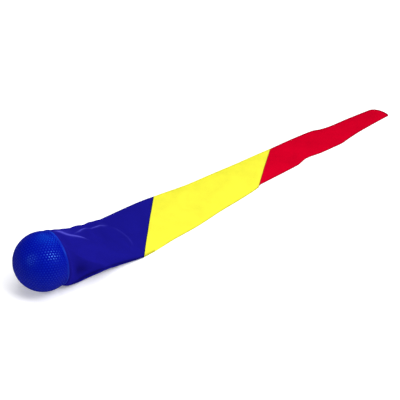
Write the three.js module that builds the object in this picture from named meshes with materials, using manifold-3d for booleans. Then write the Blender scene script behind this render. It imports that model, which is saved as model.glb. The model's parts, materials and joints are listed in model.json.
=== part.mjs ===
// Tail ball: a hollow pimpled ball held in the mouth of a long tapered cloth sock.
// The sock lies flat behind the ball and is sewn from three coloured cloths.
// Millimetres, +Z up. The tail runs along +X and the part stands on z = 0.
// Lengths called "along" are measured from the ball's centre towards the tip.

import * as THREE from 'three';
import { mergeVertices } from 'three/addons/utils/BufferGeometryUtils.js';
import Module from 'manifold-3d';

const wasm = await Module();
wasm.setup();

// Ball, its valve and the ring that clamps the cloth's mouth
const ballDiameter = 100;
const ballWall = 2.2;
const valveStemDiameter = 5;
const valveFlangeDiameter = 10;
const valveFlangeThickness = 1.4;
const mouthSetback = 21; // from the ball's widest plane to the cloth's edge
const ringWidth = 3.4;
const ringRise = 2.9; // above the ball, at the ring's rear face

// Cloth sock
const sockLength = 758; // from the mouth to the tip
const tipWidth = 27; // flat width that the straight taper reaches at the tip
const tipRadius = 22; // the sewn edge's curve into the tip
const clothWall = 2; // the solid cloth around the puffed neck
const flatThickness = 4; // two layers and the air between them
const tailOffset = 18.5; // the flat tail lies this far to the +Y side of the ball
const neckLength = 129; // from the mouth to the bend in the blue cloth

// Seams between the colours, which cross the tail on the bias
const blueYellowSeamStart = 18; // from the neck's bend to the seam's near end
const blueYellowSeamAngle = 48; // degrees from the tail's edge
const yellowLength = 266; // from seam to seam along the middle of the tail
const yellowRedSeamAngle = 40;
const biasSeamWidth = 3;
const sideSeamWidth = 3;
const seamRise = 0.8; // seams stand this far above the cloth
const tackLength = 4;

const clearance = 0.3;

// The puffed neck, from the mouth to the bend: share of the neck's length, height as a share
// of the mouth's, share of the girth taken up in folds, and share of the tail's side step
const neckStations = [
  [0.0, 1.0, 0.0, 0.0],
  [0.19, 0.86, 0.03, -0.06],
  [0.38, 0.76, 0.05, -0.06],
  [0.57, 0.56, 0.08, 0.3],
  [0.77, 0.33, 0.08, 0.6],
  [1.0, 0.1, 0.03, 1.0],
];

// Worked-out sizes
const ballRadius = ballDiameter / 2;
const ballRadiusAt = (along) => Math.sqrt(Math.max(0, ballRadius ** 2 - along ** 2));
const mouthRadius = ballRadiusAt(mouthSetback) + ringRise;
const neckBend = mouthSetback + neckLength;
const tip = mouthSetback + sockLength;
const mouthWidth = Math.PI * mouthRadius; // the mouth's girth laid flat
const taper = (mouthWidth - tipWidth) / sockLength;
const flatWidth = (along) => mouthWidth - taper * (along - mouthSetback);
const nearEdge = (along) => tailOffset - flatWidth(along) / 2;
const farEdge = (along) => tailOffset + flatWidth(along) / 2;
const seamThickness = flatThickness + seamRise;

// Where the bias seams cross the middle of the tail, and how far each reaches along it from there
const seamReach = (along, angle) => (
  flatWidth(along) / 2 / Math.tan(THREE.MathUtils.degToRad(angle))
);
const firstSeamNearEnd = neckBend + blueYellowSeamStart;
const blueYellowSeamAlong = firstSeamNearEnd + seamReach(firstSeamNearEnd, blueYellowSeamAngle);
const yellowRedSeamAlong = blueYellowSeamAlong + yellowLength;

// The bends cross the clear stretches of cloth between the seams and the tip
const yellowBend = (
  blueYellowSeamAlong + seamReach(blueYellowSeamAlong, blueYellowSeamAngle)
  + yellowRedSeamAlong - seamReach(yellowRedSeamAlong, yellowRedSeamAngle)
) / 2;
const redBend = (
  yellowRedSeamAlong + seamReach(yellowRedSeamAlong, yellowRedSeamAngle) + tip
) / 2;

const blue = { color: 0x1c1897, roughness: 0.55, metalness: 0 };
const yellow = { color: 0xfefa44, roughness: 0.55, metalness: 0 };
const red = { color: 0xd90129, roughness: 0.55, metalness: 0 };
const ballBlue = { color: 0x0b21b2, roughness: 0.28, metalness: 0 };
const ringBlue = { color: 0x1c2dbe, roughness: 0.35, metalness: 0 };
const valveGrey = { color: 0x2a2c33, roughness: 0.6, metalness: 0 };

const part = new THREE.Group();
const assembly = new THREE.Group();
part.add(assembly);

function addMesh(name, geometry, look) {
  const mesh = new THREE.Mesh(geometry, new THREE.MeshStandardMaterial(look));
  mesh.name = name;
  assembly.add(mesh);
  return mesh;
}

function toSolid(geometry) {
  const bare = geometry.index ? geometry.toNonIndexed() : geometry.clone();
  bare.deleteAttribute('normal');
  bare.deleteAttribute('uv');
  const merged = mergeVertices(bare, 1e-4);
  return new wasm.Manifold(new wasm.Mesh({
    numProp: 3,
    vertProperties: new Float32Array(merged.attributes.position.array),
    triVerts: new Uint32Array(merged.index.array),
  }));
}

function toGeometry(solid) {
  const mesh = solid.getMesh();
  const geometry = new THREE.BufferGeometry();
  geometry.setAttribute('position', new THREE.BufferAttribute(mesh.vertProperties, 3));
  geometry.setIndex(new THREE.BufferAttribute(mesh.triVerts, 1));
  return geometry;
}

// A profile of [along, radius] points turned about the X axis
function turned(profile, segments) {
  const points = profile.map(([along, radius]) => new THREE.Vector2(radius, along));
  return new THREE.LatheGeometry(points, segments).rotateZ(-Math.PI / 2);
}

// An outline of [x, y] points standing on the floor
function slab(outline, thickness) {
  const shape = new THREE.Shape(outline.map(([x, y]) => new THREE.Vector2(x, y)));
  return new THREE.ExtrudeGeometry(shape, { depth: thickness, bevelEnabled: false });
}

function arc(centreX, centreY, radius, from, to, steps) {
  const points = [];
  for (let i = 0; i <= steps; i += 1) {
    const angle = THREE.MathUtils.degToRad(from + ((to - from) * i) / steps);
    points.push([centreX + radius * Math.cos(angle), centreY + radius * Math.sin(angle)]);
  }
  return points;
}

// ---- Ball, valve plug and mouth ring ----

function ballSkin() {
  const segments = 48;
  const holeRadius = valveStemDiameter / 2 + clearance;
  const skin = (radius, steps) => {
    const last = 180 - THREE.MathUtils.radToDeg(Math.asin(holeRadius / radius));
    return arc(0, 0, radius, 0, last, steps).map(([x, y]) => [-x, Math.max(0, y)]);
  };
  const outside = skin(ballRadius, 26);
  const inside = skin(ballRadius - ballWall, 18).reverse();
  outside[0][1] = 0;
  inside[inside.length - 1][1] = 0;
  return turned([...outside, ...inside], segments);
}

function valvePlug() {
  const stem = valveStemDiameter / 2;
  const flange = valveFlangeDiameter / 2;
  const innerRadius = ballRadius - ballWall;
  const seat = Math.sqrt(innerRadius ** 2 - flange ** 2) - clearance;
  const end = Math.sqrt(ballRadius ** 2 - stem ** 2);
  return turned([
    [seat - valveFlangeThickness, 0],
    [seat - valveFlangeThickness, flange],
    [seat, flange],
    [seat, stem],
    [end, stem],
    [end, 0],
  ], 24);
}

function mouthRing() {
  const rear = mouthSetback - clearance;
  const front = rear - ringWidth;
  const seat = (along) => ballRadiusAt(along) + clearance;
  const crown = mouthRadius;
  const lip = seat(front) + 0.6;
  return turned([
    [front, seat(front)],
    [front, lip],
    [front + 0.3 * ringWidth, crown - 0.15 * ringRise],
    [front + 0.6 * ringWidth, crown],
    [rear, crown],
    [rear, seat(rear)],
    [(front + rear) / 2, seat((front + rear) / 2) + 0.05],
    [front, seat(front)],
  ], 72);
}

// ---- Cloth around the ball: the puffed neck ----

const neckCurves = [1, 2, 3].map((column) => new THREE.CatmullRomCurve3(
  neckStations.map((row) => new THREE.Vector3(row[0], row[column], 0)), false, 'centripetal',
));

function neckValue(column, share) {
  const curve = neckCurves[column - 1];
  let low = 0;
  let high = 1;
  for (let i = 0; i < 40; i += 1) {
    const middle = (low + high) / 2;
    if (curve.getPoint(middle).x < share) low = middle;
    else high = middle;
  }
  return curve.getPoint(low).y;
}

// One cross-section of the neck: where it lies and how wide and high the cloth is outside
function neckSection(along) {
  const share = THREE.MathUtils.clamp((along - mouthSetback) / neckLength, 0, 1);
  const settle = Math.max(0, 1 - (along - mouthSetback) / (ballRadius * 0.6));
  const bottom = (ballRadius - mouthRadius) * settle;
  const overBall = along < ballRadius
    ? ballRadius + ballRadiusAt(along) + clearance + clothWall - bottom : 0;
  const height = Math.max(2 * mouthRadius * neckValue(1, share), overBall);
  const girthWidth = flatWidth(along) * (1 - neckValue(2, share));
  const width = Math.max(girthWidth - (Math.PI / 2 - 1) * height, height + 0.5);
  return { along, middle: tailOffset * neckValue(3, share), bottom, width, height };
}

// The same section drawn in by the cloth's thickness
function drawnIn(section, wall) {
  return {
    ...section,
    bottom: section.bottom + wall,
    width: section.width - 2 * wall,
    height: section.height - 2 * wall,
  };
}

// A closed solid through flat-bottomed sections with round sides
function loft(sections) {
  const halfSteps = 16;
  const positions = [];
  const ringSize = 2 * (halfSteps + 1);
  sections.forEach(({ along, middle, bottom, width, height }) => {
    const radius = height / 2;
    [1, -1].forEach((side) => {
      for (let i = 0; i <= halfSteps; i += 1) {
        const angle = Math.PI * (i / halfSteps - 0.5);
        const y = side * (width / 2 - radius + radius * Math.cos(angle));
        positions.push(along, middle + y, bottom + radius + side * radius * Math.sin(angle));
      }
    });
  });
  const faces = [];
  for (let ring = 0; ring + 1 < sections.length; ring += 1) {
    for (let i = 0; i < ringSize; i += 1) {
      const a = ring * ringSize + i;
      const b = ring * ringSize + ((i + 1) % ringSize);
      faces.push(a, b, a + ringSize, b, b + ringSize, a + ringSize);
    }
  }
  const lastRing = (sections.length - 1) * ringSize;
  for (let i = 1; i + 1 < ringSize; i += 1) {
    faces.push(0, i + 1, i, lastRing, lastRing + i, lastRing + i + 1);
  }
  const geometry = new THREE.BufferGeometry();
  geometry.setAttribute('position', new THREE.Float32BufferAttribute(positions, 3));
  geometry.setIndex(faces);
  return geometry;
}

function evenly(from, to, steps, place) {
  return Array.from({ length: steps + 1 }, (_, i) => place(from + ((to - from) * i) / steps));
}

function neckCloth() {
  const rings = 20;
  const outside = loft(evenly(mouthSetback, neckBend, rings, neckSection));
  const hollowEnd = neckBend - 3 * flatThickness;
  const hollow = evenly(mouthSetback, hollowEnd, rings, (along) => drawnIn(neckSection(along), clothWall));
  hollow.unshift({ ...hollow[0], along: mouthSetback - 1 });
  return toGeometry(toSolid(outside).subtract(toSolid(loft(hollow))).subtract(bendGroove(neckBend)));
}

// ---- Flat tail ----

// A groove across the tail that lets the two sides of a bend turn a quarter turn each way:
// its walls meet the bend's axis at mid-thickness and lean 45 degrees from it
function bendGroove(along) {
  const middle = flatThickness / 2;
  const half = clearance / 2;
  const reach = 500;
  const up = seamThickness - middle + clearance;
  const down = middle + 1;
  const outline = [
    [along - half - up, reach],
    [along - half - up, middle + up],
    [along - half, middle],
    [along - half - down, middle - down],
    [along + half + down, middle - down],
    [along + half, middle],
    [along + half + up, middle + up],
    [along + half + up, reach],
  ];
  const groove = slab(outline, 2 * reach);
  return toSolid(groove.rotateX(Math.PI / 2).translate(0, reach, 0));
}

// The bias seams' centre lines, as the along value at a given y
const biasLine = (along, angle) => (y) => (
  along + (y - tailOffset) / Math.tan(THREE.MathUtils.degToRad(angle))
);
const blueYellowLine = biasLine(blueYellowSeamAlong, blueYellowSeamAngle);
const yellowRedLine = biasLine(yellowRedSeamAlong, yellowRedSeamAngle);

// A bias seam's edge, offset square to the seam, meets the edge line y = edge(along)
function seamMeets(line, angle, offset, edge) {
  const slide = offset / Math.sin(THREE.MathUtils.degToRad(angle));
  let y = edge(line(tailOffset));
  for (let i = 0; i < 30; i += 1) {
    y = edge(line(y) + slide);
  }
  return [line(y) + slide, y];
}

const innerFarEdge = (along) => farEdge(along) - sideSeamWidth - clearance;
const seamInnerEdge = (along) => farEdge(along) - sideSeamWidth;

function squareEnd(along, fromNear, farLine) {
  const corners = [[along, nearEdge(along)], [along, farLine(along)]];
  return fromNear ? corners : corners.reverse();
}

function biasEnd(line, angle, offset, fromNear) {
  const corners = [
    seamMeets(line, angle, offset, nearEdge),
    seamMeets(line, angle, offset, innerFarEdge),
  ];
  return fromNear ? corners : corners.reverse();
}

function flatSolid(outline, thickness, bends) {
  const solid = bends.reduce(
    (rest, bend) => rest.subtract(bendGroove(bend)), toSolid(slab(outline, thickness)),
  );
  return toGeometry(solid);
}

const seamHalf = biasSeamWidth / 2;
const panelBack = seamHalf + clearance;

function blueRear() {
  const outline = [
    ...squareEnd(neckBend, false, innerFarEdge),
    ...biasEnd(blueYellowLine, blueYellowSeamAngle, -panelBack, true),
  ];
  return flatSolid(outline, flatThickness, [neckBend]);
}

function yellowFront() {
  const outline = [
    ...biasEnd(blueYellowLine, blueYellowSeamAngle, panelBack, false),
    ...squareEnd(yellowBend, true, innerFarEdge),
  ];
  return flatSolid(outline, flatThickness, [yellowBend]);
}

function yellowRear() {
  const outline = [
    ...squareEnd(yellowBend, false, innerFarEdge),
    ...biasEnd(yellowRedLine, yellowRedSeamAngle, -panelBack, true),
  ];
  return flatSolid(outline, flatThickness, [yellowBend]);
}

function redFront() {
  const outline = [
    ...biasEnd(yellowRedLine, yellowRedSeamAngle, panelBack, false),
    ...squareEnd(redBend, true, innerFarEdge),
  ];
  return flatSolid(outline, flatThickness, [redBend]);
}

// The sewn edge's curve into the tip, drawn in by a distance
function tipCurve(inset) {
  const centreX = tip - tipRadius;
  const centreY = farEdge(centreX) - tipRadius;
  return arc(centreX, centreY, tipRadius - inset, 90, 0, 10);
}

const tackFrontY = nearEdge(tip) + tackLength;

function redTip() {
  const inset = sideSeamWidth + clearance;
  const outline = [
    ...squareEnd(redBend, false, innerFarEdge),
    [tip - inset, nearEdge(tip - inset)],
    ...tipCurve(inset).reverse(),
  ];
  return flatSolid(outline, flatThickness, [redBend]);
}

function biasSeam(line, angle) {
  const outline = [
    ...biasEnd(line, angle, -seamHalf, false),
    ...biasEnd(line, angle, seamHalf, true),
  ];
  return slab(outline, seamThickness);
}

function sideSeam(from, to) {
  const outline = [
    [from, seamInnerEdge(from)],
    [to, seamInnerEdge(to)],
    [to, farEdge(to)],
    [from, farEdge(from)],
  ];
  return flatSolid(outline, seamThickness, [from, to]);
}

function sideSeamTip() {
  const end = tackFrontY + clearance;
  const outline = [
    [redBend, seamInnerEdge(redBend)],
    ...tipCurve(sideSeamWidth),
    [tip - sideSeamWidth, end],
    [tip, end],
    ...tipCurve(0).reverse(),
    [redBend, farEdge(redBend)],
  ];
  return flatSolid(outline, seamThickness, [redBend]);
}

function tipTack() {
  const back = tip - sideSeamWidth;
  const outline = [
    [back, nearEdge(back)],
    [tip, nearEdge(tip)],
    [tip, tackFrontY],
    [back, tackFrontY],
  ];
  return slab(outline, seamThickness);
}

// ---- Assembly ----

addMesh('ball_skin', ballSkin(), ballBlue).position.z = ballRadius;
addMesh('valve_plug', valvePlug(), valveGrey).position.z = ballRadius;
addMesh('mouth_ring', mouthRing(), ringBlue).position.z = ballRadius;
addMesh('blue_cloth_neck', neckCloth(), blue);
addMesh('blue_cloth_rear', blueRear(), blue);
addMesh('blue_yellow_seam', biasSeam(blueYellowLine, blueYellowSeamAngle), blue);
addMesh('yellow_cloth_front', yellowFront(), yellow);
addMesh('yellow_cloth_rear', yellowRear(), yellow);
addMesh('yellow_red_seam', biasSeam(yellowRedLine, yellowRedSeamAngle), red);
addMesh('red_cloth_front', redFront(), red);
addMesh('red_cloth_tip', redTip(), red);
addMesh('side_seam_front', sideSeam(neckBend, yellowBend), yellow);
addMesh('side_seam_middle', sideSeam(yellowBend, redBend), red);
addMesh('side_seam_tip', sideSeamTip(), red);
addMesh('tip_tack', tipTack(), red);

// The origin is the middle of the underside of the part's box
const box = new THREE.Box3().setFromObject(assembly);
assembly.position.set(-(box.min.x + box.max.x) / 2, -(box.min.y + box.max.y) / 2, -box.min.z);
part.updateMatrixWorld(true);

export default part;
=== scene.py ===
"""Tail ball: a pimpled ball in the mouth of a long three-coloured cloth sock, laid out on a floor.

Lengths called "along" run down the tail from the ball's centre, "side" runs across it from the
ball's centre towards the sewn edge, and "around" goes from 0 to 1 round the sock and starts at
the sewn edge. Lengths are in metres, and the tables of shapes say where they are in mm.
"""

import json
import math
from contextlib import contextmanager

import bpy
import numpy as np
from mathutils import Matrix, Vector
from mathutils.kdtree import KDTree


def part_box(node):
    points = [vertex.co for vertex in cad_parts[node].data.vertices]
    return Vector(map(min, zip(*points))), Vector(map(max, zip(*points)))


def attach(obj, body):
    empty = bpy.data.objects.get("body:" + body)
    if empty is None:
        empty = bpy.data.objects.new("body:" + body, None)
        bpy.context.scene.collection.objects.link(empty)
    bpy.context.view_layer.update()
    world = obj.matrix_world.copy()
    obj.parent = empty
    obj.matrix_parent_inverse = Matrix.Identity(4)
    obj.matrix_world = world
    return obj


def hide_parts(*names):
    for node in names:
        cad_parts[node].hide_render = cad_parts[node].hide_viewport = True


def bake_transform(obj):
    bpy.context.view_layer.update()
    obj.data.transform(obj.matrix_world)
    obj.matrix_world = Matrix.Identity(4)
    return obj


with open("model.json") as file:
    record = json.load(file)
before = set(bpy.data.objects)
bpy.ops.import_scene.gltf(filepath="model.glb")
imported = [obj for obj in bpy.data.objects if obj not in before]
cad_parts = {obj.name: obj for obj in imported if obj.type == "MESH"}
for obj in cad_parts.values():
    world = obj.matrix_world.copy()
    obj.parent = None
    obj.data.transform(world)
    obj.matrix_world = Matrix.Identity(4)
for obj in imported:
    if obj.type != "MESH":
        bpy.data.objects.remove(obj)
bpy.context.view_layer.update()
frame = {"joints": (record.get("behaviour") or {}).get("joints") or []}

bl_info = {
    "name": "Tail Ball",
    "version": (1, 0, 0),
    "blender": (4, 5, 0),
    "location": "View3D > Sidebar > Tail Ball",
    "description": "Builds a pimpled ball with a three-coloured cloth tail",
    "category": "Object",
}

MM = 0.001

# ---------------------------------------------------------------- places taken from the frame


def joint_at(name):
    """The along value of a bend in the tail."""
    joint = next(j for j in frame["joints"] if j["name"] == name)
    return joint["pos_m"][0] - BALL_CENTRE.x


BALL_LOW, BALL_HIGH = (Vector(corner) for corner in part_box("ball_skin"))
BALL_CENTRE = (BALL_LOW + BALL_HIGH) / 2
BALL_RADIUS = (BALL_HIGH.y - BALL_LOW.y) / 2
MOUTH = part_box("blue_cloth_neck")[0][0] - BALL_CENTRE.x
MOUTH_RADIUS = (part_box("mouth_ring")[1][1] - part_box("mouth_ring")[0][1]) / 2
RING_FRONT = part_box("mouth_ring")[0][0] - BALL_CENTRE.x
RING_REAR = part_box("mouth_ring")[1][0] - BALL_CENTRE.x
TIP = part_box("side_seam_tip")[1][0] - BALL_CENTRE.x
FIRST_SEAM = [corner[0] - BALL_CENTRE.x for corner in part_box("blue_yellow_seam")]
SECOND_SEAM = [corner[0] - BALL_CENTRE.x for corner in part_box("yellow_red_seam")]

# The bodies before and after each bend, its place, and the length over which the cloth turns
BLUE_BEND = ("ball", "tail_front", joint_at("blue_bend"), 14 * MM)
YELLOW_BEND = ("tail_front", "tail_middle", joint_at("yellow_bend"), 12 * MM)
RED_BEND = ("tail_middle", "tail_tip", joint_at("red_bend"), 12 * MM)

# The ball sits a little turned in the sock's mouth: the top of its ring leans towards the tail
RING_LEAN = math.radians(7.6)

# How far the cloth's edge runs in under the ring
TUCK = 1.6 * MM
# How far before its tip the tail's sewn edge starts to round over to the fold
TIP_ROUND = 22 * MM
# How far above the floor the cloth's outside and the other pieces stay at least
CLOTH_GAP = 0.3 * MM
PIECE_GAP = 0.1 * MM

# How the sock lies: along, side of the folded edge, side of the sewn edge, height, in mm
LAY = [
    (21, -48.2, 48.2, 96.4),
    (45, -49.8, 45.8, 81.5),
    (70, -48.5, 45.6, 73),
    (92, -46.8, 54, 57),
    (115, -45.5, 62, 35),
    (139, -45.6, 71.2, 19.5),
    (163, -46.5, 78, 8),
    (185, -45.5, 79.3, 4.2),
    (235, -40, 78.4, 3.8),
    (285, -37, 73, 3.8),
    (345, -29, 65.5, 3.6),
    (400, -23.5, 63, 3.6),
    (437, -18, 61, 3.4),
    (447, -13, 60.4, 3.4),
    (495, -12, 59, 3.4),
    (538, -10.5, 57, 3.4),
    (565, -4.5, 56.6, 3.2),
    (600, -8.5, 55, 3.2),
    (626, -9.4, 52.8, 3.1),
    (645, -10, 46.6, 3),
    (668, -6.6, 43, 2.9),
    (700, -2.5, 41.6, 2.8),
    (755, 1, 37.5, 2.5),
    (800, 3, 33, 2.2),
]

# ---------------------------------------------------------------- settings


def colour_property(name, description, default):
    return bpy.props.FloatVectorProperty(
        name=name, description=description, default=default, subtype="COLOR", size=3, min=0, max=1
    )


class TailBallBallSettings(bpy.types.PropertyGroup):
    """Sizes and colour of the ball and its ring"""

    pimple_rows: bpy.props.IntProperty(
        name="Pimple rows", description="Pimples along each edge of the ball's 20 triangles",
        default=13, min=4, max=20,
    )
    pimple_share: bpy.props.FloatProperty(
        name="Pimple share", description="Half-width of a pimple as a share of the pitch, in percent",
        default=38, min=10, max=45, subtype="PERCENTAGE",
    )
    pimple_height: bpy.props.FloatProperty(
        name="Pimple height", description="How far a pimple stands out", default=0.3 * MM, unit="LENGTH"
    )
    colour: colour_property("Ball colour", "Colour of the soft plastic", (0.0006, 0.006, 0.37))
    ring_colour: colour_property("Ring colour", "Colour of the mouth ring", (0.003, 0.012, 0.3))


class TailBallClothSettings(bpy.types.PropertyGroup):
    """Sizes and colours of the cloth and its seams"""

    thickness: bpy.props.FloatProperty(
        name="Cloth thickness", description="Thickness of one layer", default=0.35 * MM, unit="LENGTH"
    )
    thread_pitch: bpy.props.FloatProperty(
        name="Thread pitch", description="Distance between the threads of the weave",
        default=0.5 * MM, unit="LENGTH",
    )
    blue: colour_property("Blue", "Colour of the first cloth", (0.0078, 0.0062, 0.2))
    yellow: colour_property("Yellow", "Colour of the second cloth", (0.72, 0.69, 0.04))
    red: colour_property("Red", "Colour of the third cloth", (0.5, 0.0003, 0.0155))


class TailBallStageSettings(bpy.types.PropertyGroup):
    """Light, floor and camera"""

    overhead_power: bpy.props.FloatProperty(
        name="Overhead power", description="Power of the large overhead light", default=27, unit="POWER"
    )
    right_power: bpy.props.FloatProperty(
        name="Right power", description="Power of the softbox on the right", default=10, unit="POWER"
    )
    left_power: bpy.props.FloatProperty(
        name="Left power", description="Power of the softbox on the left", default=3.4, unit="POWER"
    )
    room_light: bpy.props.FloatProperty(
        name="Room light", description="Strength of the light from the walls of the room", default=0.1, min=0
    )
    floor_colour: colour_property("Floor colour", "Colour of the floor", (0.86, 0.86, 0.86))


# ---------------------------------------------------------------- modelling helpers


def clear_selection():
    if bpy.context.object and bpy.context.object.mode != "OBJECT":
        bpy.ops.object.mode_set(mode="OBJECT")
    bpy.ops.object.select_all(action="DESELECT")


def select_only(piece):
    clear_selection()
    piece.select_set(True)
    bpy.context.view_layer.objects.active = piece


def name_piece(name):
    """Names the new active piece, and puts its place into its mesh."""
    piece = bpy.context.object
    piece.name = name
    piece.data.name = name
    bpy.ops.object.transform_apply(location=True, rotation=True, scale=True)
    return piece


def coordinates(piece):
    flat = np.empty(len(piece.data.vertices) * 3)
    piece.data.vertices.foreach_get("co", flat)
    return flat.reshape(-1, 3)


def set_coordinates(piece, points):
    piece.data.vertices.foreach_set("co", np.asarray(points, dtype=np.float32).ravel())
    piece.data.update()


def apply_modifier(piece, kind, **values):
    bpy.context.view_layer.objects.active = piece
    modifier = piece.modifiers.new(kind.title(), kind)
    for key, value in values.items():
        setattr(modifier, key, value)
    bpy.ops.object.modifier_apply(modifier=modifier.name)


@contextmanager
def edit_mode(action=None):
    """Edit mode for a while, with everything selected or deselected first if that is asked for."""
    bpy.ops.object.mode_set(mode="EDIT")
    if action:
        bpy.ops.mesh.select_all(action=action)
    yield
    bpy.ops.object.mode_set(mode="OBJECT")


def select_faces(piece, wanted):
    with edit_mode("DESELECT"):
        pass
    for face in piece.data.polygons:
        face.select = wanted(face)


def smooth_shade(piece, degrees=None):
    select_only(piece)
    if degrees is None:
        bpy.ops.object.shade_smooth()
    else:
        bpy.ops.object.shade_smooth_by_angle(angle=math.radians(degrees))


def recalculate_normals(piece):
    select_only(piece)
    with edit_mode("SELECT"):
        bpy.ops.mesh.remove_doubles(threshold=0.01 * MM)
        bpy.ops.mesh.normals_make_consistent(inside=False)


def smooth_step(value):
    """From 0 to 1 with a soft start and end, for a value held to that range."""
    value = np.clip(value, 0, 1)
    return value * value * (3 - 2 * value)


def unit_rows(vectors):
    return vectors / np.linalg.norm(vectors, axis=1)[:, None]


def through(stations, column, where):
    """A smooth curve through one column of listed stations, read at the places given."""
    places = np.array([row[0] for row in stations], float)
    values = np.array([row[column] for row in stations], float)
    steps = np.diff(places)
    slopes = np.diff(values) / steps
    tangents = np.zeros(len(values))
    tangents[1:-1] = np.where(
        slopes[:-1] * slopes[1:] > 0, 2 * slopes[:-1] * slopes[1:] / (slopes[:-1] + slopes[1:] + 1e-12), 0
    )
    tangents[0], tangents[-1] = slopes[0], slopes[-1]
    where = np.clip(where, places[0], places[-1])
    i = np.clip(np.searchsorted(places, where, side="right") - 1, 0, len(steps) - 1)
    t = (where - places[i]) / steps[i]
    return (
        values[i] * (1 + 2 * t) * (1 - t) ** 2
        + tangents[i] * steps[i] * t * (1 - t) ** 2
        + values[i + 1] * t**2 * (3 - 2 * t)
        + tangents[i + 1] * steps[i] * t**2 * (t - 1)
    )


# ---------------------------------------------------------------- materials


def new_material(name):
    material = bpy.data.materials.new(name)
    material.use_nodes = True
    nodes = material.node_tree.nodes
    return material, nodes, material.node_tree.links, nodes["Principled BSDF"]


def set_inputs(node, **values):
    """Sets a node's inputs; an underscore stands for a space in an input's name."""
    for key, value in values.items():
        node.inputs[key.replace("_", " ")].default_value = value


def add_node(nodes, kind, **values):
    node = nodes.new(kind)
    set_inputs(node, **values)
    return node


def math_node(nodes, links, operation, *values):
    """A math node's output; each value is a number or another node's output."""
    node = nodes.new("ShaderNodeMath")
    node.operation = operation
    for socket, value in zip(node.inputs, values):
        if isinstance(value, (int, float)):
            socket.default_value = value
        else:
            links.new(value, socket)
    return node.outputs[0]


def map_range(nodes, links, source, **limits):
    node = add_node(nodes, "ShaderNodeMapRange", **limits)
    links.new(source, node.inputs["Value"])
    return node.outputs["Result"]


def mix_colours(nodes, links, blend, factor, first, second):
    """Two colours mixed; each value is a constant or another node's output."""
    mix = nodes.new("ShaderNodeMix")
    mix.data_type = "RGBA"
    mix.blend_type = blend
    for key, value in (("Factor", factor), ("A", first), ("B", second)):
        if isinstance(value, (float, tuple)):
            mix.inputs[key].default_value = value
        else:
            links.new(value, mix.inputs[key])
    return mix.outputs["Result"]


def shade(colour, factor, lift=0):
    return (*[min(1, c * factor + lift) for c in colour], 1)


def colour_ramp(nodes, links, source, low, high):
    """A ramp from one colour to another as the source goes from 0 to 1."""
    ramp = nodes.new("ShaderNodeValToRGB")
    ramp.color_ramp.elements[0].color = low
    ramp.color_ramp.elements[1].color = high
    links.new(source, ramp.inputs["Fac"])
    return ramp


def texture(nodes, links, kind, **values):
    """A texture that stays with its piece."""
    place = nodes.new("ShaderNodeTexCoord")
    node = add_node(nodes, kind, **values)
    links.new(place.outputs["Object"], node.inputs["Vector"])
    return node


def add_bump(nodes, links, shader, height, strength, distance):
    bump = add_node(nodes, "ShaderNodeBump", Strength=strength, Distance=distance)
    links.new(height, bump.inputs["Height"])
    links.new(bump.outputs["Normal"], shader.inputs["Normal"])


def cloth_material(name, colour, pitch, sheen):
    """Plain-woven polyester: crossed threads that follow the cloth, and slight unevenness.

    The mesh's attribute of painted light makes the cloth paler above 0 (painted highlights) and darker below
    0 (painted shade).
    """
    material, nodes, links, shader = new_material(name)
    uv = nodes.new("ShaderNodeUVMap")
    uv.uv_map = "cloth"
    split = nodes.new("ShaderNodeSeparateXYZ")
    links.new(uv.outputs["UV"], split.inputs[0])
    threads = 2 * math.pi / pitch
    warp, weft = (
        math_node(nodes, links, "SINE", math_node(nodes, links, "MULTIPLY", split.outputs[axis], threads))
        for axis in "XY"
    )
    over = math_node(nodes, links, "MULTIPLY", warp, weft)
    lifted = math_node(nodes, links, "MULTIPLY_ADD", over, 0.5, 0.5)
    grey = nodes.new("ShaderNodeCombineColor")
    for channel in ("Red", "Green", "Blue"):
        links.new(lifted, grey.inputs[channel])
    cloudy = texture(nodes, links, "ShaderNodeTexNoise", Scale=28.0, Detail=3.0, Roughness=0.6)
    tone = colour_ramp(nodes, links, cloudy.outputs["Fac"], shade(colour, 0.93), shade(colour, 1.05))
    tone.color_ramp.elements[0].position = 0.3
    tone.color_ramp.elements[1].position = 0.75
    woven = mix_colours(nodes, links, "MULTIPLY", 0.12, tone.outputs["Color"], grey.outputs["Color"])
    painted_light_node = nodes.new("ShaderNodeAttribute")
    painted_light_node.attribute_name = "painted_light"
    level = math_node(nodes, links, "MULTIPLY_ADD", painted_light_node.outputs["Fac"], 0.5, 0.5)
    # a ramp of painted light: painted shade below the middle, painted highlight above it
    painted_light_ramp = colour_ramp(nodes, links, level, shade(colour, 0.45), shade(colour, 1.9, 0.045))
    painted_light_ramp.color_ramp.elements.new(0.5).color = shade(colour, 1)
    share = math_node(nodes, links, "ABSOLUTE", painted_light_node.outputs["Fac"])
    result = mix_colours(nodes, links, "MIX", share, woven, painted_light_ramp.outputs["Color"])
    links.new(result, shader.inputs["Base Color"])
    add_bump(nodes, links, shader, over, 0.25, 0.05 * MM)
    tint = (*[c / max(colour) for c in colour], 1)
    set_inputs(shader, Roughness=0.62, Specular_IOR_Level=0.0, Specular_Tint=tint)
    set_inputs(shader, Sheen_Weight=sheen, Sheen_Roughness=0.45, Sheen_Tint=tint)
    return material


def moulded_material(name, colour, **values):
    """Soft moulded plastic with a faint mottle and a fine skin."""
    material, nodes, links, shader = new_material(name)
    mottle = texture(nodes, links, "ShaderNodeTexNoise", Scale=60.0, Detail=4.0)
    tone = colour_ramp(nodes, links, mottle.outputs["Fac"], shade(colour, 0.9), shade(colour, 1.08))
    links.new(tone.outputs["Color"], shader.inputs["Base Color"])
    grain = texture(nodes, links, "ShaderNodeTexNoise", Scale=2200.0, Detail=2.0)
    add_bump(nodes, links, shader, grain.outputs["Fac"], 0.15, 0.02 * MM)
    set_inputs(shader, **values)
    return material


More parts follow.
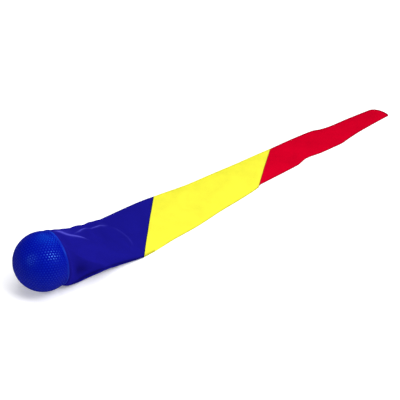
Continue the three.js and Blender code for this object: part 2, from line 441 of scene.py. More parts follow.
def tint_pimples(material, height):
    """The skin's look by height: shiny on the pimples, and dull between them, where painted shade darkens
    the skin's colour.
    """
    nodes, links = material.node_tree.nodes, material.node_tree.links
    shader = nodes["Principled BSDF"]
    place = nodes.new("ShaderNodeTexCoord")
    reach = nodes.new("ShaderNodeVectorMath")
    reach.operation = "DISTANCE"
    reach.inputs[1].default_value = BALL_CENTRE
    links.new(place.outputs["Object"], reach.inputs[0])
    foot, crown = BALL_RADIUS + 0.2 * height, BALL_RADIUS + 0.75 * height
    rise = map_range(nodes, links, reach.outputs["Value"], From_Min=foot, From_Max=crown)
    painted_shade_mask = math_node(nodes, links, "SUBTRACT", 1.0, rise)
    skin = shader.inputs["Base Color"].links[0].from_socket
    # painted shade: the skin's colour is darkened between the pimples
    tone = mix_colours(nodes, links, "MULTIPLY", painted_shade_mask, skin, (0.3, 0.4, 0.66, 1))
    links.new(tone, shader.inputs["Base Color"])
    links.new(map_range(nodes, links, rise, To_Min=0.7, To_Max=0.06), shader.inputs["Roughness"])
    least = 0.04
    links.new(math_node(nodes, links, "MAXIMUM", rise, least), shader.inputs["Specular IOR Level"])


def thread_material(name, colour):
    """Twisted sewing thread."""
    material, nodes, links, shader = new_material(name)
    twist = texture(nodes, links, "ShaderNodeTexWave", Scale=900.0, Distortion=1.5)
    twist.bands_direction = "DIAGONAL"
    tone = colour_ramp(nodes, links, twist.outputs["Fac"], shade(colour, 0.7), shade(colour, 1))
    links.new(tone.outputs["Color"], shader.inputs["Base Color"])
    set_inputs(shader, Roughness=0.7, Specular_IOR_Level=0.1)
    return material


# ---------------------------------------------------------------- ball, valve and ring


# How much of the skin round the valve is left without pimples
VALVE_CLEARANCE = 7 * MM


class TAILBALL_OT_ball(bpy.types.Operator):
    """Model the hollow ball's skin, with a moulded pimple at each point of a triangle lattice"""

    bl_idname = "tailball.ball"
    bl_label = "Ball skin"

    def execute(self, context):
        ball = context.scene.tailball_ball
        clear_selection()
        bpy.ops.mesh.primitive_ico_sphere_add(subdivisions=1, radius=BALL_RADIUS, location=BALL_CENTRE)
        skin = name_piece("ball_skin_moulded")
        with edit_mode("SELECT"):
            bpy.ops.mesh.subdivide(number_cuts=ball.pimple_rows - 1)
        outward = unit_rows(coordinates(skin) - np.array(BALL_CENTRE))
        set_coordinates(skin, np.array(BALL_CENTRE) + lean(outward * BALL_RADIUS))
        lattice = KDTree(len(outward))
        for number, vertex in enumerate(skin.data.vertices):
            lattice.insert(vertex.co, number)
        lattice.balance()
        with edit_mode("SELECT"):
            bpy.ops.mesh.bevel(
                offset_type="PERCENT", offset_pct=ball.pimple_share, segments=1, affect="VERTICES"
            )
        pole = BALL_CENTRE + Vector(lean(np.array([BALL_RADIUS, 0, 0])))
        select_faces(skin, lambda face: (
            lattice.find(face.center)[2] < 0.25 * MM and (face.center - pole).length > VALVE_CLEARANCE
        ))
        # with vertex selection the neighbours of a chosen face would be raised too
        context.tool_settings.mesh_select_mode = (False, False, True)
        with edit_mode():
            bpy.ops.mesh.inset(use_individual=True, thickness=0.5 * MM, depth=ball.pimple_height)
        context.tool_settings.mesh_select_mode = (True, False, False)
        apply_modifier(skin, "SUBSURF", levels=1, render_levels=1, quality=1, use_limit_surface=False)
        smooth_shade(skin)
        material = moulded_material(
            "moulded blue plastic", ball.colour, Specular_Tint=(0.13, 0.42, 1, 1), IOR=1.8
        )
        tint_pimples(material, ball.pimple_height)
        skin.data.materials.append(material)
        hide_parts("ball_skin")
        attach(skin, "ball")
        return {"FINISHED"}


class TAILBALL_OT_valve(bpy.types.Operator):
    """Model the needle valve's plug in the back of the ball"""

    bl_idname = "tailball.valve"
    bl_label = "Valve plug"

    def execute(self, context):
        low, high = (Vector(corner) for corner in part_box("valve_plug"))
        radius = (high.y - low.y) / 2
        clear_selection()
        bpy.ops.mesh.primitive_cylinder_add(
            vertices=40, radius=radius, depth=high.x - low.x, rotation=(0, math.pi / 2, 0),
            location=((low.x + high.x) / 2, BALL_CENTRE.y, BALL_CENTRE.z),
        )
        plug = name_piece("valve_plug_rubber")
        select_faces(plug, lambda face: face.normal.x > 0.9)
        # the raised boss of the plug, and the needle hole in it
        with edit_mode():
            bpy.ops.mesh.inset(thickness=radius * 0.5, depth=0)
            bpy.ops.mesh.inset(thickness=0.2 * MM, depth=0.35 * MM)
            bpy.ops.mesh.inset(thickness=0.9 * MM, depth=0)
            bpy.ops.mesh.inset(thickness=0.3 * MM, depth=-0.6 * MM)
        apply_modifier(plug, "BEVEL", width=0.15 * MM, segments=2)
        lean_piece(plug)
        smooth_shade(plug, 35)
        rubber = moulded_material(
            "valve rubber", (0.02, 0.022, 0.03), Roughness=0.6, Specular_IOR_Level=0.3, IOR=1.45
        )
        plug.data.materials.append(rubber)
        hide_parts("valve_plug")
        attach(plug, "ball")
        return {"FINISHED"}


def turned_band(name, profile):
    """Spins a closed profile of (along, radius) points round the line along the ball's centre."""
    clear_selection()
    bpy.ops.mesh.primitive_circle_add(vertices=len(profile), radius=MM, location=BALL_CENTRE)
    band = name_piece(name)
    set_coordinates(
        band, [(BALL_CENTRE.x + along, BALL_CENTRE.y, BALL_CENTRE.z + radius) for along, radius in profile]
    )
    with edit_mode("SELECT"):
        bpy.ops.mesh.spin(
            steps=160, angle=2 * math.pi, center=BALL_CENTRE, axis=(1, 0, 0), use_auto_merge=True
        )
    recalculate_normals(band)
    return band


def lean(offsets, share=1.0):
    """Turns offsets from the ball's centre by the lean of the ring, top towards the tail."""
    angle = RING_LEAN * share
    turned = np.array(offsets, float)
    turned[..., 0] = offsets[..., 0] * np.cos(angle) + offsets[..., 2] * np.sin(angle)
    turned[..., 2] = offsets[..., 2] * np.cos(angle) - offsets[..., 0] * np.sin(angle)
    return turned


def lean_piece(piece):
    """Leans a finished piece with the ball's ring."""
    middle = np.array(BALL_CENTRE)
    points = middle + lean(coordinates(piece) - middle)
    points[:, 2] = np.maximum(points[:, 2], PIECE_GAP)
    set_coordinates(piece, points)


def ball_radius_at(along):
    return math.sqrt(max(0, BALL_RADIUS**2 - along**2))


class TAILBALL_OT_ring(bpy.types.Operator):
    """Model the smooth ring that clamps the cloth's edge to the ball"""

    bl_idname = "tailball.ring"
    bl_label = "Mouth ring"

    def execute(self, context):
        width = RING_REAR - RING_FRONT
        sunk = 0.2 * MM
        foot = ball_radius_at(RING_FRONT) - sunk
        crown = MOUTH_RADIUS - 0.9 * MM
        steps = 9
        rounded = [
            (
                RING_FRONT + width * (1 - math.cos(0.5 * math.pi * i / steps)),
                foot + (crown - foot) * math.sin(0.5 * math.pi * i / steps) ** 0.7,
            )
            for i in range(steps + 1)
        ]
        profile = [*rounded, (RING_REAR, ball_radius_at(RING_REAR) - sunk)]
        ring = turned_band("mouth_ring_moulded", profile)
        lean_piece(ring)
        smooth_shade(ring, 50)
        plastic = moulded_material(
            "ring plastic", context.scene.tailball_ball.ring_colour,
            Roughness=0.35, Specular_IOR_Level=0.5, Specular_Tint=(0.07, 0.35, 1, 1), IOR=1.3,
        )
        ring.data.materials.append(plastic)
        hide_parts("mouth_ring")
        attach(ring, "ball")
        return {"FINISHED"}


# ---------------------------------------------------------------- how the sock lies


def side_share(around):
    """From 1 at the sewn edge to -1 at the folded edge."""
    return np.abs(4 * around - 2) - 1


def edges_at(along):
    """The sides of the folded and the sewn edge."""
    return through(LAY, 1, along / MM) * MM, through(LAY, 2, along / MM) * MM


def along_seam(seam):
    """A bias seam's along value for each place around the sock: straight as the sock lies."""
    start, end = seam
    start_side = edges_at(np.array(start))[0]
    end_side = edges_at(np.array(end))[1]

    def line(around):
        share = (side_share(around) + 1) / 2
        along = start + share * (end - start)
        for _ in range(12):
            near, far = edges_at(along)
            side = near + share * (far - near)
            along = start + (side - start_side) / (end_side - start_side) * (end - start)
        return along

    return line


def tip_line(around):
    """The end of the tail: its far corner is rounded off."""
    share = (side_share(around) + 1) / 2
    blunt = 2.5 * MM * np.clip(1 - share / 0.14, 0, 1) ** 2
    return TIP - TIP_ROUND * (1 - np.sqrt(np.clip(1 - share**2.7, 0, 1))) - blunt


def rise_along(along, start, length):
    """From 0 at the start to 1 a length further on, both in mm."""
    return np.clip((along - start * MM) / (length * MM), 0, 1)


def section(along, around):
    """The plain sock's side and height for along and around arrays, and its girth there."""
    near, far = edges_at(along)
    height = through(LAY, 3, along / MM) * MM
    width = far - near
    radius = np.minimum(height, width) / 2
    flat = width - 2 * radius
    girth = 2 * flat + 2 * math.pi * radius
    run = around * girth
    quarter = math.pi * radius / 2
    # up the sewn edge, over the flat top, round the folded edge, back below, and up again
    ends = np.stack([quarter, quarter + flat, 3 * quarter + flat, 3 * quarter + 2 * flat])
    stretch = (run[None] > ends).sum(axis=0)
    safe = np.maximum(radius, 1e-9)
    rising = run / safe
    folding = math.pi / 2 + (run - quarter - flat) / safe
    closing = 1.5 * math.pi + (run - 3 * quarter - 2 * flat) / safe
    sides = [
        flat / 2 + radius * np.cos(rising),
        flat / 2 - (run - quarter),
        -flat / 2 + radius * np.cos(folding),
        -flat / 2 + (run - 3 * quarter - flat),
        flat / 2 + radius * np.cos(closing),
    ]
    heights = [radius * np.sin(rising), radius, radius * np.sin(folding), -radius, radius * np.sin(closing)]
    settle = np.clip(1 - (along - MOUTH) / (BALL_RADIUS * 0.6), 0, 1)
    bottom = (BALL_RADIUS - MOUTH_RADIUS) * settle
    return (near + far) / 2 + np.choose(stretch, sides), bottom + radius + np.choose(stretch, heights), girth


# Creases of the puffed neck: (along mm, around) points, height mm, half-width mm, sharpness, and
# the strength of the painted highlight on the crest
CREASES = [
    ([(26, 0.193), (43.5, 0.213), (58.5, 0.25), (75, 0.28), (86, 0.31)], 3.2, 4.5, 1.1, 1.0),
    (
        [(60, 0.24), (77.5, 0.221), (98, 0.186), (120.5, 0.144), (141.5, 0.119), (160, 0.12)],
        3.8, 6.5, 1.15, 1.0,
    ),
    ([(21, 0.343), (33.5, 0.376), (47, 0.411), (60.5, 0.448), (84, 0.499), (108, 0.52)], 6.5, 8, 1.3, 0.16),
    (
        [(159, 0.122), (165.5, 0.169), (168.5, 0.226), (169.5, 0.291), (168, 0.346), (162.5, 0.391)],
        1.6, 5, 1.3, 0.4,
    ),
    ([(22.5, 0.36), (23, 0.45), (22.5, 0.56)], 2.6, 5, 1.6, 0.2),
    ([(30, 0.86), (60, 0.89), (95, 0.93), (120, 0.97)], 3.2, 9, 1.4, 0.2),
    ([(30, 0.06), (60, 0.045), (96, 0.03)], 2.2, 8, 1.4, 0.2),
]
# Hollows: along mm, around, half-length mm, half-width mm, depth mm; a negative depth is a bulge
HOLLOWS = [
    (44, 0.5, 13, 20, 10),
    (62, 0.56, 16, 14, 6),
    (50, 0.93, 20, 18, 6),
    (80, 0.285, 22, 15, 4.5),
    (52, 0.31, 14, 12, 3.0),
    (148, 0.25, 14, 32, 2.2),
    (118, 0.42, 22, 16, 2.4),
    (50, 0.175, 12, 13, -4.5),
    (36, 0.172, 8, 12, -2.6),
    (84, 0.115, 16, 14, 2.2),
    (149, 0.05, 8, 10, -1.6),
    (130, 0.07, 16, 13, -2.2),
    (24, 0.655, 16, 15, -2.4),
    (74, 0.62, 26, 14, -3.6),
    (548, 0.33, 10, 9, 1.0),
]


def distance_to(points, along, around, girth):
    """Distance over the cloth to a line of points, and how far down the line the nearest place is."""
    nearest = np.full_like(along, np.inf)
    share = np.zeros_like(along)
    count = len(points) - 1
    for i in range(count):
        (a0, c0), (a1, c1) = points[i], points[i + 1]
        dx, dy = (a1 - a0) * MM, (c1 - c0) * girth
        px, py = along - a0 * MM, (around - c0) * girth
        t = np.clip((px * dx + py * dy) / (dx * dx + dy * dy), 0, 1)
        distance = np.hypot(px - t * dx, py - t * dy)
        share = np.where(distance < nearest, (i + t) / count, share)
        nearest = np.minimum(nearest, distance)
    return nearest, share


def falloff(distance, reach, power=2):
    return np.exp(-((distance / reach) ** power))


def spot(along, around, girth, centre, turn, length, width):
    """From 1 at a spot's centre (along mm, around) to 0 away from it; its half-sizes are in mm."""
    dx = (along - centre * MM) / (length * MM)
    dy = (around - turn) * girth / (width * MM)
    return np.exp(-(dx**2) - dy**2)


def crease_lift(along, around, girth):
    """How far the creases push the cloth out and the hollows draw it in."""
    lift = np.zeros_like(along)
    for points, height, reach, power, _ in CREASES:
        distance, share = distance_to(points, along, around, girth)
        fade = np.minimum(1, 4 * share * (1 - share) + 0.25)
        lift += height * MM * fade * falloff(distance, reach * MM, power)
    for *place, depth in HOLLOWS:
        lift -= depth * MM * spot(along, around, girth, *place)
    return lift


# Places of painted shade: along mm, around, half-length mm, half-width mm, strength; below 0 it is a painted
# highlight
SHADE = [
    (40, 0.49, 13, 25, 0.75),
    (60, 0.52, 18, 15, 0.45),
    (52, 0.2, 22, 7, -0.35),
    (150, 0.09, 10, 12, -0.2),
    (86, 0.15, 24, 10, 0.5),
    (45, 0.17, 20, 6, 0.35),
    (178, 0.21, 6, 40, 0.3),
    (34, 0.3, 9, 16, 0.35),
    (548, 0.34, 12, 7, 0.4),
]
# Painted shade where the puffed neck turns under and gets no light: (along mm, around) points
UNDERSIDE = [
    (23, 0.645), (32, 0.597), (46, 0.588), (62, 0.588), (74, 0.578), (84, 0.54),
    (98, 0.516), (125, 0.51), (145, 0.497), (170, 0.493), (190, 0.495),
]
# Waves of the laid cloth: height mm, length mm, slant, phase
WAVES = [
    (0.9, 83, 0.4, 0.3),
    (0.6, 57, -0.5, 1.9),
    (0.5, 131, 0.8, 4.0),
    (0.25, 37, -0.3, 2.6),
    (0.12, 23, 1.1, 0.8),
]


def painted_light_marks(along, around, girth):
    """Painted light on the cloth, from 1 to -1: painted highlights on the crests of its creases, painted
    shade and a few painted highlights at the listed places, and painted shade under the puffed neck and
    along the folded edge of the flat cloth.
    """
    painted_light_values = np.zeros_like(along)
    for points, _, _, _, painted_highlight in CREASES:
        distance, share = distance_to(points, along, around, girth)
        fade = np.clip(5 * share * (1 - share), 0, 1)
        # painted highlight on the crest of each crease
        painted_light_values += painted_highlight * fade * (0.7 * falloff(distance, 1.4 * MM) + 0.3 * falloff(distance, 4 * MM))
    # painted shade at each listed place, and a painted highlight where the strength is below 0
    for *place, strength in SHADE:
        painted_light_values -= strength * spot(along, around, girth, *place)
    # painted shade where the puffed neck turns under
    painted_light_values -= falloff(distance_to(UNDERSIDE, along, around, girth)[0], 4 * MM)
    # painted shade along the folded edge of the flat cloth
    near, far = edges_at(along)
    inward = (side_share(around) + 1) / 2 * (far - near)
    painted_light_values -= rise_along(along, 190, 30) * falloff(inward, 2.8 * MM)
    return np.clip(painted_light_values, -1, 1)


def ripple(along, side):
    """Long, low waves of cloth that has been handled and laid down."""
    total = np.zeros_like(along)
    for size, length, slant, phase in WAVES:
        bend = 1.1 * np.sin(side / (31 * MM) + phase)
        total += size * MM * np.sin(2 * math.pi * (along + slant * side) / (length * MM) + phase + bend)
    return total


def sock_points(along, around):
    """Where the cloth lies, for along and around arrays of one shape: (along, side, up) arrays."""
    side, up, girth = section(along, around)
    step, turn = 0.5 * MM, 0.002
    here = np.stack([along, side, up])
    ahead = np.stack([along + step, *section(along + step, around)[:2]])
    turned = np.stack([along, *section(along, (around + turn) % 1.0)[:2]])
    inward = np.cross(ahead - here, turned - here, axis=0)
    inward /= np.linalg.norm(inward, axis=0) + 1e-12
    # creases start behind the ring, and the cloth's edge goes down under it
    lift = crease_lift(along, around, girth) * smooth_step((along - MOUTH + TUCK) / (12 * MM))
    lift -= 1.7 * MM * np.clip(1 - (along - MOUTH + TUCK) / (3.2 * MM), 0, 1)
    points = here - inward * lift
    # only the upper layer ripples, and not at the edges
    height = through(LAY, 3, along / MM) * MM
    top = np.clip((up / np.maximum(height, 1e-6) - 0.5) * 2, 0, 1)
    edge = 1 - side_share(around) ** 8
    points[2] += ripple(along, side) * rise_along(along, 60, 90) * top * edge * 0.8
    # flat cloth is thin at its edges and fuller between them
    fullness = 0.3 + 0.7 * (1 - np.abs(side_share(around)) ** 3)
    points[2] *= 1 - rise_along(along, 125, 60) * (1 - fullness)
    # the tip closes
    points[2] *= 1 - 0.6 * rise_along(along, 720, 60)
    # the mouth leans with the ring
    offsets = np.stack([points[0], points[1], points[2] - BALL_CENTRE.z], axis=-1)
    offsets = lean(offsets, smooth_step(1 - (along - MOUTH) / (60 * MM)))
    return np.stack([offsets[..., 0], offsets[..., 1], offsets[..., 2] + BALL_CENTRE.z])


def to_frame(points):
    """Turns (along, side, up) arrays into points in the frame."""
    moved = np.stack([points[0] + BALL_CENTRE.x, points[1] + BALL_CENTRE.y, points[2]], axis=-1)
    moved[..., 2] = np.maximum(moved[..., 2], CLOTH_GAP)
    return moved


# ---------------------------------------------------------------- cloth pieces


def cloth_tube(name, start, end, along_steps, around_steps, material):
    """One colour of the sock, from one end line to the other, as a closed tube of thin cloth."""
    clear_selection()
    bpy.ops.mesh.primitive_grid_add(x_subdivisions=along_steps, y_subdivisions=around_steps, size=1)
    piece = name_piece(name)
    flat = coordinates(piece)
    share, around = flat[:, 0] + 0.5, flat[:, 1] + 0.5
    along = start(around) * (1 - share) + end(around) * share
    points = sock_points(along, around)
    along = points[0]
    girth = section(along, around)[2]
    set_coordinates(piece, to_frame(points))
    layer = piece.data.uv_layers[0]
    layer.name = "cloth"
    corners = np.empty(len(piece.data.loops), dtype=np.int32)
    piece.data.loops.foreach_get("vertex_index", corners)
    uv = np.stack([along, (around - 0.5) * girth], axis=1)[corners]
    layer.data.foreach_set("uv", uv.astype(np.float32).ravel())
    # the attribute of painted light: painted highlights on crease crests, painted shade in hollows and under
    # the neck
    painted_light_values = piece.data.attributes.new("painted_light", "FLOAT", "POINT")
    painted_light_values.data.foreach_set("value", painted_light_marks(along, around, girth).astype(np.float32))
    piece.data.materials.append(material)
    return piece


def thicken(piece, thickness, offset):
    """Gives thin cloth its thickness; an offset of -1 puts all of it inside."""
    recalculate_normals(piece)
    apply_modifier(piece, "SOLIDIFY", thickness=thickness, offset=offset, use_rim=True)
    smooth_shade(piece, 60)


def bend_cloth(piece, before, after, along, reach):
    """Bakes a piece's place into its mesh."""
    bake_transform(piece)


def make_cloth(name, colour, sheen, lines, steps, nodes, bend):
    """One cloth of the sock, from its first end line to its second."""
    cloth = bpy.context.scene.tailball_cloth
    material = cloth_material(name.replace("_", " "), colour, cloth.thread_pitch, sheen)
    piece = cloth_tube(name, *lines, *steps, material)
    thicken(piece, cloth.thickness, -1)
    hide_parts(*nodes)
    bend_cloth(piece, *bend)


def declare_cloth(name, *seams):
    """Reads the "cloth" map of one cloth of the sock, as it was cut before it was folded in two and sewn; it
    does nothing more with it.
    """
    piece = bpy.data.objects[name]
    count = len(piece.data.loops)
    flat = np.empty(count * 2, dtype=np.float32)
    piece.data.uv_layers["cloth"].data.foreach_get("uv", flat)
    flat = flat.reshape(-1, 2)


# ---------------------------------------------------------------- seams and stitches


def stitches(name, places, directions, length, radius, material):
    """One stitch, modelled once, then copied to each place and turned to each direction."""
    clear_selection()
    bpy.ops.mesh.primitive_uv_sphere_add(segments=6, ring_count=5, radius=1)
    piece = name_piece(name)
    one = coordinates(piece).copy()
    apply_modifier(piece, "ARRAY", count=len(places), use_merge_vertices=False)
    forward = np.asarray(directions, float)
    forward /= np.linalg.norm(forward, axis=1)[:, None]
    across = np.cross(forward, (0, 0, 1))
    across /= np.linalg.norm(across, axis=1)[:, None] + 1e-9
    upward = np.cross(across, forward)
    points = (
        np.asarray(places)[:, None]
        + one[None, :, 2:3] * forward[:, None] * length / 2
        + one[None, :, 0:1] * across[:, None] * radius
        + one[None, :, 1:2] * upward[:, None] * radius
    )
    set_coordinates(piece, points.reshape(-1, 3))
    smooth_shade(piece)
    piece.data.materials.append(material)
    return piece


def hem(colour):
    """The row of stitches along the cloth's edge, just behind the ring."""
    count = 110
    around = (np.arange(count) + 0.5) / count
    line = np.full(count, MOUTH + 3.4 * MM)
    here = to_frame(sock_points(line, around))
    ahead = to_frame(sock_points(line, (around + 0.003) % 1))
    row = stitches(
        "hem_stitches", here, ahead - here, 1.9 * MM, 0.22 * MM,
        thread_material("hem thread", [c * 1.5 for c in colour]),
    )
    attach(row, "ball")


def join_pieces(first, *others):
    clear_selection()
    for piece in (first, *others):
        piece.select_set(True)
    bpy.context.view_layer.objects.active = first
    bpy.ops.object.join()
    return first


def bias_seam(name, seam, groove_shade_colour, thread_colour, node, body):
    """The line where two cloths are sewn: a narrow sunk strip, dark with painted shade of the groove, and a
    row of stitches beside it.
    """
    line = along_seam(seam)
    # the strip's dark colour is painted shade in the groove between the cloths
    strip = cloth_tube(
        name, lambda a: line(a) - 1.3 * MM, lambda a: line(a) + 0.2 * MM, 5, 260,
        thread_material(name + " strip", groove_shade_colour),
    )
    thicken(strip, 0.7 * MM, 0.35)
    count, beside, turn = 150, 2.4 * MM, 0.002
    around = (np.arange(count) + 0.5) / count
    here = to_frame(sock_points(line(around) - beside, around))
    ahead = to_frame(sock_points(line(around + turn) - beside, (around + turn) % 1))
    row = stitches(
        name + "_row", here + np.array([0, 0, 0.1 * MM]), ahead - here, 1.7 * MM, 0.22 * MM,
        thread_material(name + " thread", thread_colour),
    )
    piece = join_pieces(strip, row)
    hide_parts(node)
    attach(piece, body)


def sewn_edge(start, end):
    """Places 1.3 mm apart along the sewn edge, as (along, side, up) arrays."""
    along = np.arange(start, end, 1.3 * MM)
    return sock_points(along, np.zeros_like(along))


def side_seam(name, line, colour, node, bend):
    """The sewn edge of one cloth: a thin rolled welt, with thread whipped over it."""
    points = to_frame(line)
    forward = unit_rows(np.gradient(points, axis=0))
    across = unit_rows(np.cross(forward, (0, 0, 1)))
    upward = np.cross(across, forward)
    sides = 10
    clear_selection()
    bpy.ops.mesh.primitive_grid_add(x_subdivisions=len(points) - 1, y_subdivisions=sides, size=1)
    piece = name_piece(name)
    grid = coordinates(piece)
    step = np.rint((grid[:, 0] + 0.5) * (len(points) - 1)).astype(int)
    turn = (grid[:, 1] + 0.5) * 2 * math.pi
    radius = 0.75 * MM * (1 + 0.08 * np.sin(step * 1.3))
    offset = np.cos(turn)[:, None] * across[step] + np.sin(turn)[:, None] * upward[step]
    placed = points[step] + offset * radius[:, None] + np.array([0, 0, 0.4 * MM])
    placed[:, 2] = np.maximum(placed[:, 2], PIECE_GAP)
    set_coordinates(piece, placed)
    recalculate_normals(piece)
    with edit_mode("SELECT"):
        bpy.ops.mesh.region_to_loop()
        bpy.ops.mesh.edge_face_add()
    smooth_shade(piece, 60)
    piece.data.materials.append(thread_material(name + " welt", colour))
    whip = np.arange(2, len(points) - 2, 2)
    lean_over = forward[whip] * 0.5 + across[whip]
    row = stitches(
        name + "_row", points[whip] + upward[whip] * 1.05 * MM + across[whip] * 0.6 * MM, lean_over,
        2.0 * MM, 0.2 * MM, thread_material(name + " thread", [c * 0.8 for c in colour]),
    )
    piece = join_pieces(piece, row)
    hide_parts(node)
    bend_cloth(piece, *bend)


# ---------------------------------------------------------------- cloth and seam steps


class TAILBALL_OT_blue_cloth(bpy.types.Operator):
    """Make the blue cloth, puffed behind the ball and then lying flat, and its hem"""

    bl_idname = "tailball.blue_cloth"
    bl_label = "Blue cloth"

    def execute(self, context):
        colour = context.scene.tailball_cloth.blue
        lines = (lambda around: MOUTH - TUCK + 0 * around, along_seam(FIRST_SEAM))
        nodes = ("blue_cloth_neck", "blue_cloth_rear")
        make_cloth("blue_cloth", colour, 0.1, lines, (170, 230), nodes, BLUE_BEND)
        hem(colour)
        return {"FINISHED"}


class TAILBALL_OT_yellow_cloth(bpy.types.Operator):
    """Make the yellow cloth between the two bias seams"""

    bl_idname = "tailball.yellow_cloth"
    bl_label = "Yellow cloth"

    def execute(self, context):
        colour = context.scene.tailball_cloth.yellow
        lines = (along_seam(FIRST_SEAM), along_seam(SECOND_SEAM))
        nodes = ("yellow_cloth_front", "yellow_cloth_rear")
        make_cloth("yellow_cloth", colour, 0, lines, (150, 120), nodes, YELLOW_BEND)
        return {"FINISHED"}


class TAILBALL_OT_red_cloth(bpy.types.Operator):
    """Make the red cloth, from the second bias seam to the rounded tip"""

    bl_idname = "tailball.red_cloth"
    bl_label = "Red cloth"

    def execute(self, context):
        colour = context.scene.tailball_cloth.red
        lines = (along_seam(SECOND_SEAM), tip_line)
        nodes = ("red_cloth_front", "red_cloth_tip")
        make_cloth("red_cloth", colour, 0, lines, (170, 90), nodes, RED_BEND)
        return {"FINISHED"}


class TAILBALL_OT_bias_seams(bpy.types.Operator):
    """Sew the two slanting seams between the cloths"""

    bl_idname = "tailball.bias_seams"
    bl_label = "Bias seams"

    def execute(self, context):
        cloth = context.scene.tailball_cloth
        # the first colour of each seam is the painted shade of its groove
        bias_seam(
            "seam_blue_to_yellow", FIRST_SEAM, (0.006, 0.003, 0.05), cloth.blue,
            "blue_yellow_seam", "tail_front",
        )
        bias_seam(
            "seam_yellow_to_red", SECOND_SEAM, (0.3, 0.0, 0.004), cloth.yellow,
            "yellow_red_seam", "tail_middle",
        )
        return {"FINISHED"}


class TAILBALL_OT_side_seams(bpy.types.Operator):
    """Sew the long edge of the sock and tack its end"""

    bl_idname = "tailball.side_seams"
    bl_label = "Side seam and tack"

    def execute(self, context):
        cloth = context.scene.tailball_cloth
        first, second = FIRST_SEAM[1], SECOND_SEAM[1]
        tack_around = 0.47
        turn = np.linspace(0, tack_around, 34)
        rounded = sock_points(tip_line(turn), turn)
        rounded[2] *= 0.8
        blue = sewn_edge(MOUTH + 1 * MM, first)
        yellow = sewn_edge(first, second)
        red = np.concatenate([sewn_edge(second, TIP - TIP_ROUND), rounded], axis=1)
        side_seam("side_seam_blue", blue, cloth.blue, "side_seam_front", BLUE_BEND)
        side_seam("side_seam_yellow", yellow, cloth.yellow, "side_seam_middle", YELLOW_BEND)
        side_seam("side_seam_red", red, [c * 0.5 for c in cloth.red], "side_seam_tip", RED_BEND)

        count = 9
        end = to_frame(sock_points(np.full(count, TIP - 3.4 * MM), np.linspace(tack_around, 0.5, count)))
        middle = end.mean(axis=0)
        places = np.array([middle + (0.0, (i - 4) * 0.42 * MM, 0.8 * MM) for i in range(count)])
        ways = np.array([(1, 0.35 if i % 2 else -0.35, 0) for i in range(count)], float)
        tack = stitches(
            "tip_tack_thread", places, ways, 2.6 * MM, 0.24 * MM, thread_material("tack thread", cloth.red)
        )
        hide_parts("tip_tack")
        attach(tack, "tail_tip")

        declare_cloth("blue_cloth", "hem_stitches", "seam_blue_to_yellow", "side_seam_blue")
        declare_cloth("yellow_cloth", "seam_yellow_to_red", "side_seam_yellow")
        declare_cloth("red_cloth", "side_seam_red", "tip_tack_thread")
        return {"FINISHED"}


# ---------------------------------------------------------------- stage


def place_light(name, direction, distance, size, power, target):
    clear_selection()
    spot = Vector(target) + Vector(direction).normalized() * distance
    turn = (Vector(target) - spot).to_track_quat("-Z", "Y").to_euler()
    bpy.ops.object.light_add(type="AREA", location=spot, rotation=turn)
    light = bpy.context.object
    light.name = name
    light.data.shape = "SQUARE"
    light.data.size = size
    light.data.energy = power
    light.visible_camera = False
    return light


# The camera's turns, and its place from the floor under the ball
CAMERA_PITCH = math.radians(40)
CAMERA_TURN = math.radians(-36.9)
CAMERA_OFFSET = Vector((-0.7332, -1.4035, 1.492))


def in_view(right, away, up):
    """A direction given by how far it goes to the right of the view, away from it, and up."""
    across = Vector((math.cos(CAMERA_TURN), math.sin(CAMERA_TURN), 0))
    ahead = Vector((-math.sin(CAMERA_TURN), math.cos(CAMERA_TURN), 0))
    return across * right + ahead * away + Vector((0, 0, up))


def by_ray(nodes, links, ray, other, chosen, target):
    """Gives one shader to the named kind of ray and another to the rest."""
    path = nodes.new("ShaderNodeLightPath")
    choice = nodes.new("ShaderNodeMixShader")
    links.new(path.outputs[ray], choice.inputs["Fac"])
    links.new(other.outputs[0], choice.inputs[1])
    links.new(chosen.outputs[0], choice.inputs[2])
    links.new(choice.outputs[0], target.inputs["Surface"])
    return path


def make_floor(colour):
    """A white floor that glows more away from the piece, and is dark in reflections."""
    clear_selection()
    bpy.ops.mesh.primitive_plane_add(size=14, location=(0, 0, -0.15 * MM))
    floor = name_piece("floor")
    material, nodes, links, shader = new_material("floor")
    set_inputs(shader, Base_Color=(*colour, 1), Roughness=0.9, Specular_IOR_Level=0.0)
    place = nodes.new("ShaderNodeTexCoord")
    centred = add_node(nodes, "ShaderNodeMapping", Scale=(0.75, 1.1, 1))
    links.new(place.outputs["Object"], centred.inputs["Vector"])
    middle = nodes.new("ShaderNodeVectorMath")
    middle.operation = "LENGTH"
    links.new(centred.outputs["Vector"], middle.inputs[0])
    glow = map_range(
        nodes, links, middle.outputs["Value"], From_Min=0.12, From_Max=0.75, To_Min=0.12, To_Max=0.75
    )
    set_inputs(shader, Emission_Color=(1, 1, 1, 1))
    links.new(glow, shader.inputs["Emission Strength"])
    dim = add_node(nodes, "ShaderNodeBsdfDiffuse", Color=(0.015, 0.015, 0.015, 1))
    by_ray(nodes, links, "Is Glossy Ray", shader, dim, nodes["Material Output"])
    floor.data.materials.append(material)


def make_room(light):
    """A room that lights evenly, is dimmer in reflections, and is seen as white."""
    world = bpy.data.worlds.new("studio")
    bpy.context.scene.world = world
    world.use_nodes = True
    nodes, links = world.node_tree.nodes, world.node_tree.links
    room = nodes["Background"]
    set_inputs(room, Color=(1, 1, 1, 1))
    backdrop = add_node(nodes, "ShaderNodeBackground", Color=(1, 1, 1, 1), Strength=1.2)
    path = by_ray(nodes, links, "Is Camera Ray", room, backdrop, nodes["World Output"])
    less = math_node(nodes, links, "MULTIPLY", path.outputs["Is Glossy Ray"], 0.85 * light)
    links.new(math_node(nodes, links, "SUBTRACT", light, less), room.inputs["Strength"])


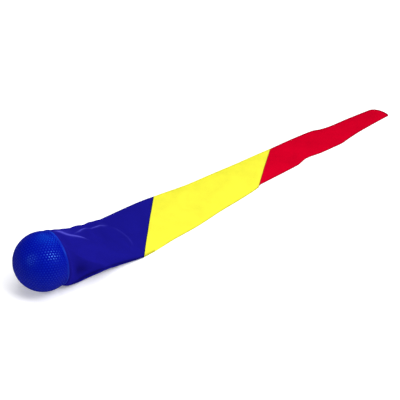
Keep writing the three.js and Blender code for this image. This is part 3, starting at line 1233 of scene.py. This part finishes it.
class TAILBALL_OT_stage(bpy.types.Operator):
    """Set the floor, lights and camera"""

    bl_idname = "tailball.stage"
    bl_label = "Stage"

    def execute(self, context):
        stage = context.scene.tailball_stage
        make_floor(stage.floor_colour)
        make_room(stage.room_light)
        overhead = place_light("overhead", (0.12, 0.05, 1), 1.5, 1.7, stage.overhead_power, (0, 0, 0))
        overhead.visible_glossy = False
        right, left = in_view(0.62, -0.27, 0.73), in_view(-0.61, -0.51, 0.61)
        place_light("right_softbox", right, 1.2, 0.52, stage.right_power, BALL_CENTRE)
        place_light("left_softbox", left, 1.2, 0.42, stage.left_power, BALL_CENTRE)
        # only the ball's reflections show this one
        back = place_light("back_softbox", in_view(0.15, 0.75, 0.65), 1.3, 1.0, 12, BALL_CENTRE)
        back.visible_diffuse = False
        back.data.color = (0.05, 0.5, 1)

        clear_selection()
        spot = Vector((BALL_CENTRE.x, BALL_CENTRE.y, 0)) + CAMERA_OFFSET
        bpy.ops.object.camera_add(location=spot, rotation=(math.pi / 2 - CAMERA_PITCH, 0, CAMERA_TURN))
        camera = context.object
        camera.name = "camera"
        camera.data.lens = 117
        camera.data.sensor_width = 36
        camera.data.clip_end = 50
        context.scene.camera = camera
        context.scene.view_settings.view_transform = "Standard"
        return {"FINISHED"}


# ---------------------------------------------------------------- add-on


class TAILBALL_PT_panel(bpy.types.Panel):
    """Lists the tail ball's settings and steps"""

    bl_idname = "TAILBALL_PT_panel"
    bl_label = "Tail Ball"
    bl_space_type = "VIEW_3D"
    bl_region_type = "UI"
    bl_category = "Tail Ball"

    def draw(self, context):
        layout = self.layout
        for settings in ("tailball_ball", "tailball_cloth", "tailball_stage"):
            box = layout.box()
            group = getattr(context.scene, settings)
            for key in group.__annotations__:
                box.prop(group, key)
        for step in STEPS:
            layout.operator(step.bl_idname)


STEPS = (
    TAILBALL_OT_stage,
    TAILBALL_OT_ball,
    TAILBALL_OT_valve,
    TAILBALL_OT_ring,
    TAILBALL_OT_blue_cloth,
    TAILBALL_OT_yellow_cloth,
    TAILBALL_OT_red_cloth,
    TAILBALL_OT_bias_seams,
    TAILBALL_OT_side_seams,
)
SETTINGS = {
    "tailball_ball": TailBallBallSettings,
    "tailball_cloth": TailBallClothSettings,
    "tailball_stage": TailBallStageSettings,
}
CLASSES = (*SETTINGS.values(), *STEPS, TAILBALL_PT_panel)


def register():
    for cls in CLASSES:
        bpy.utils.register_class(cls)
    for name, cls in SETTINGS.items():
        setattr(bpy.types.Scene, name, bpy.props.PointerProperty(type=cls))


def unregister():
    for name in SETTINGS:
        delattr(bpy.types.Scene, name)
    for cls in reversed(CLASSES):
        bpy.utils.unregister_class(cls)


def main():
    register()
    for step in STEPS:
        group, name = step.bl_idname.split(".")
        getattr(getattr(bpy.ops, group), name)()
    clear_selection()


if __name__ == "__main__":
    main()
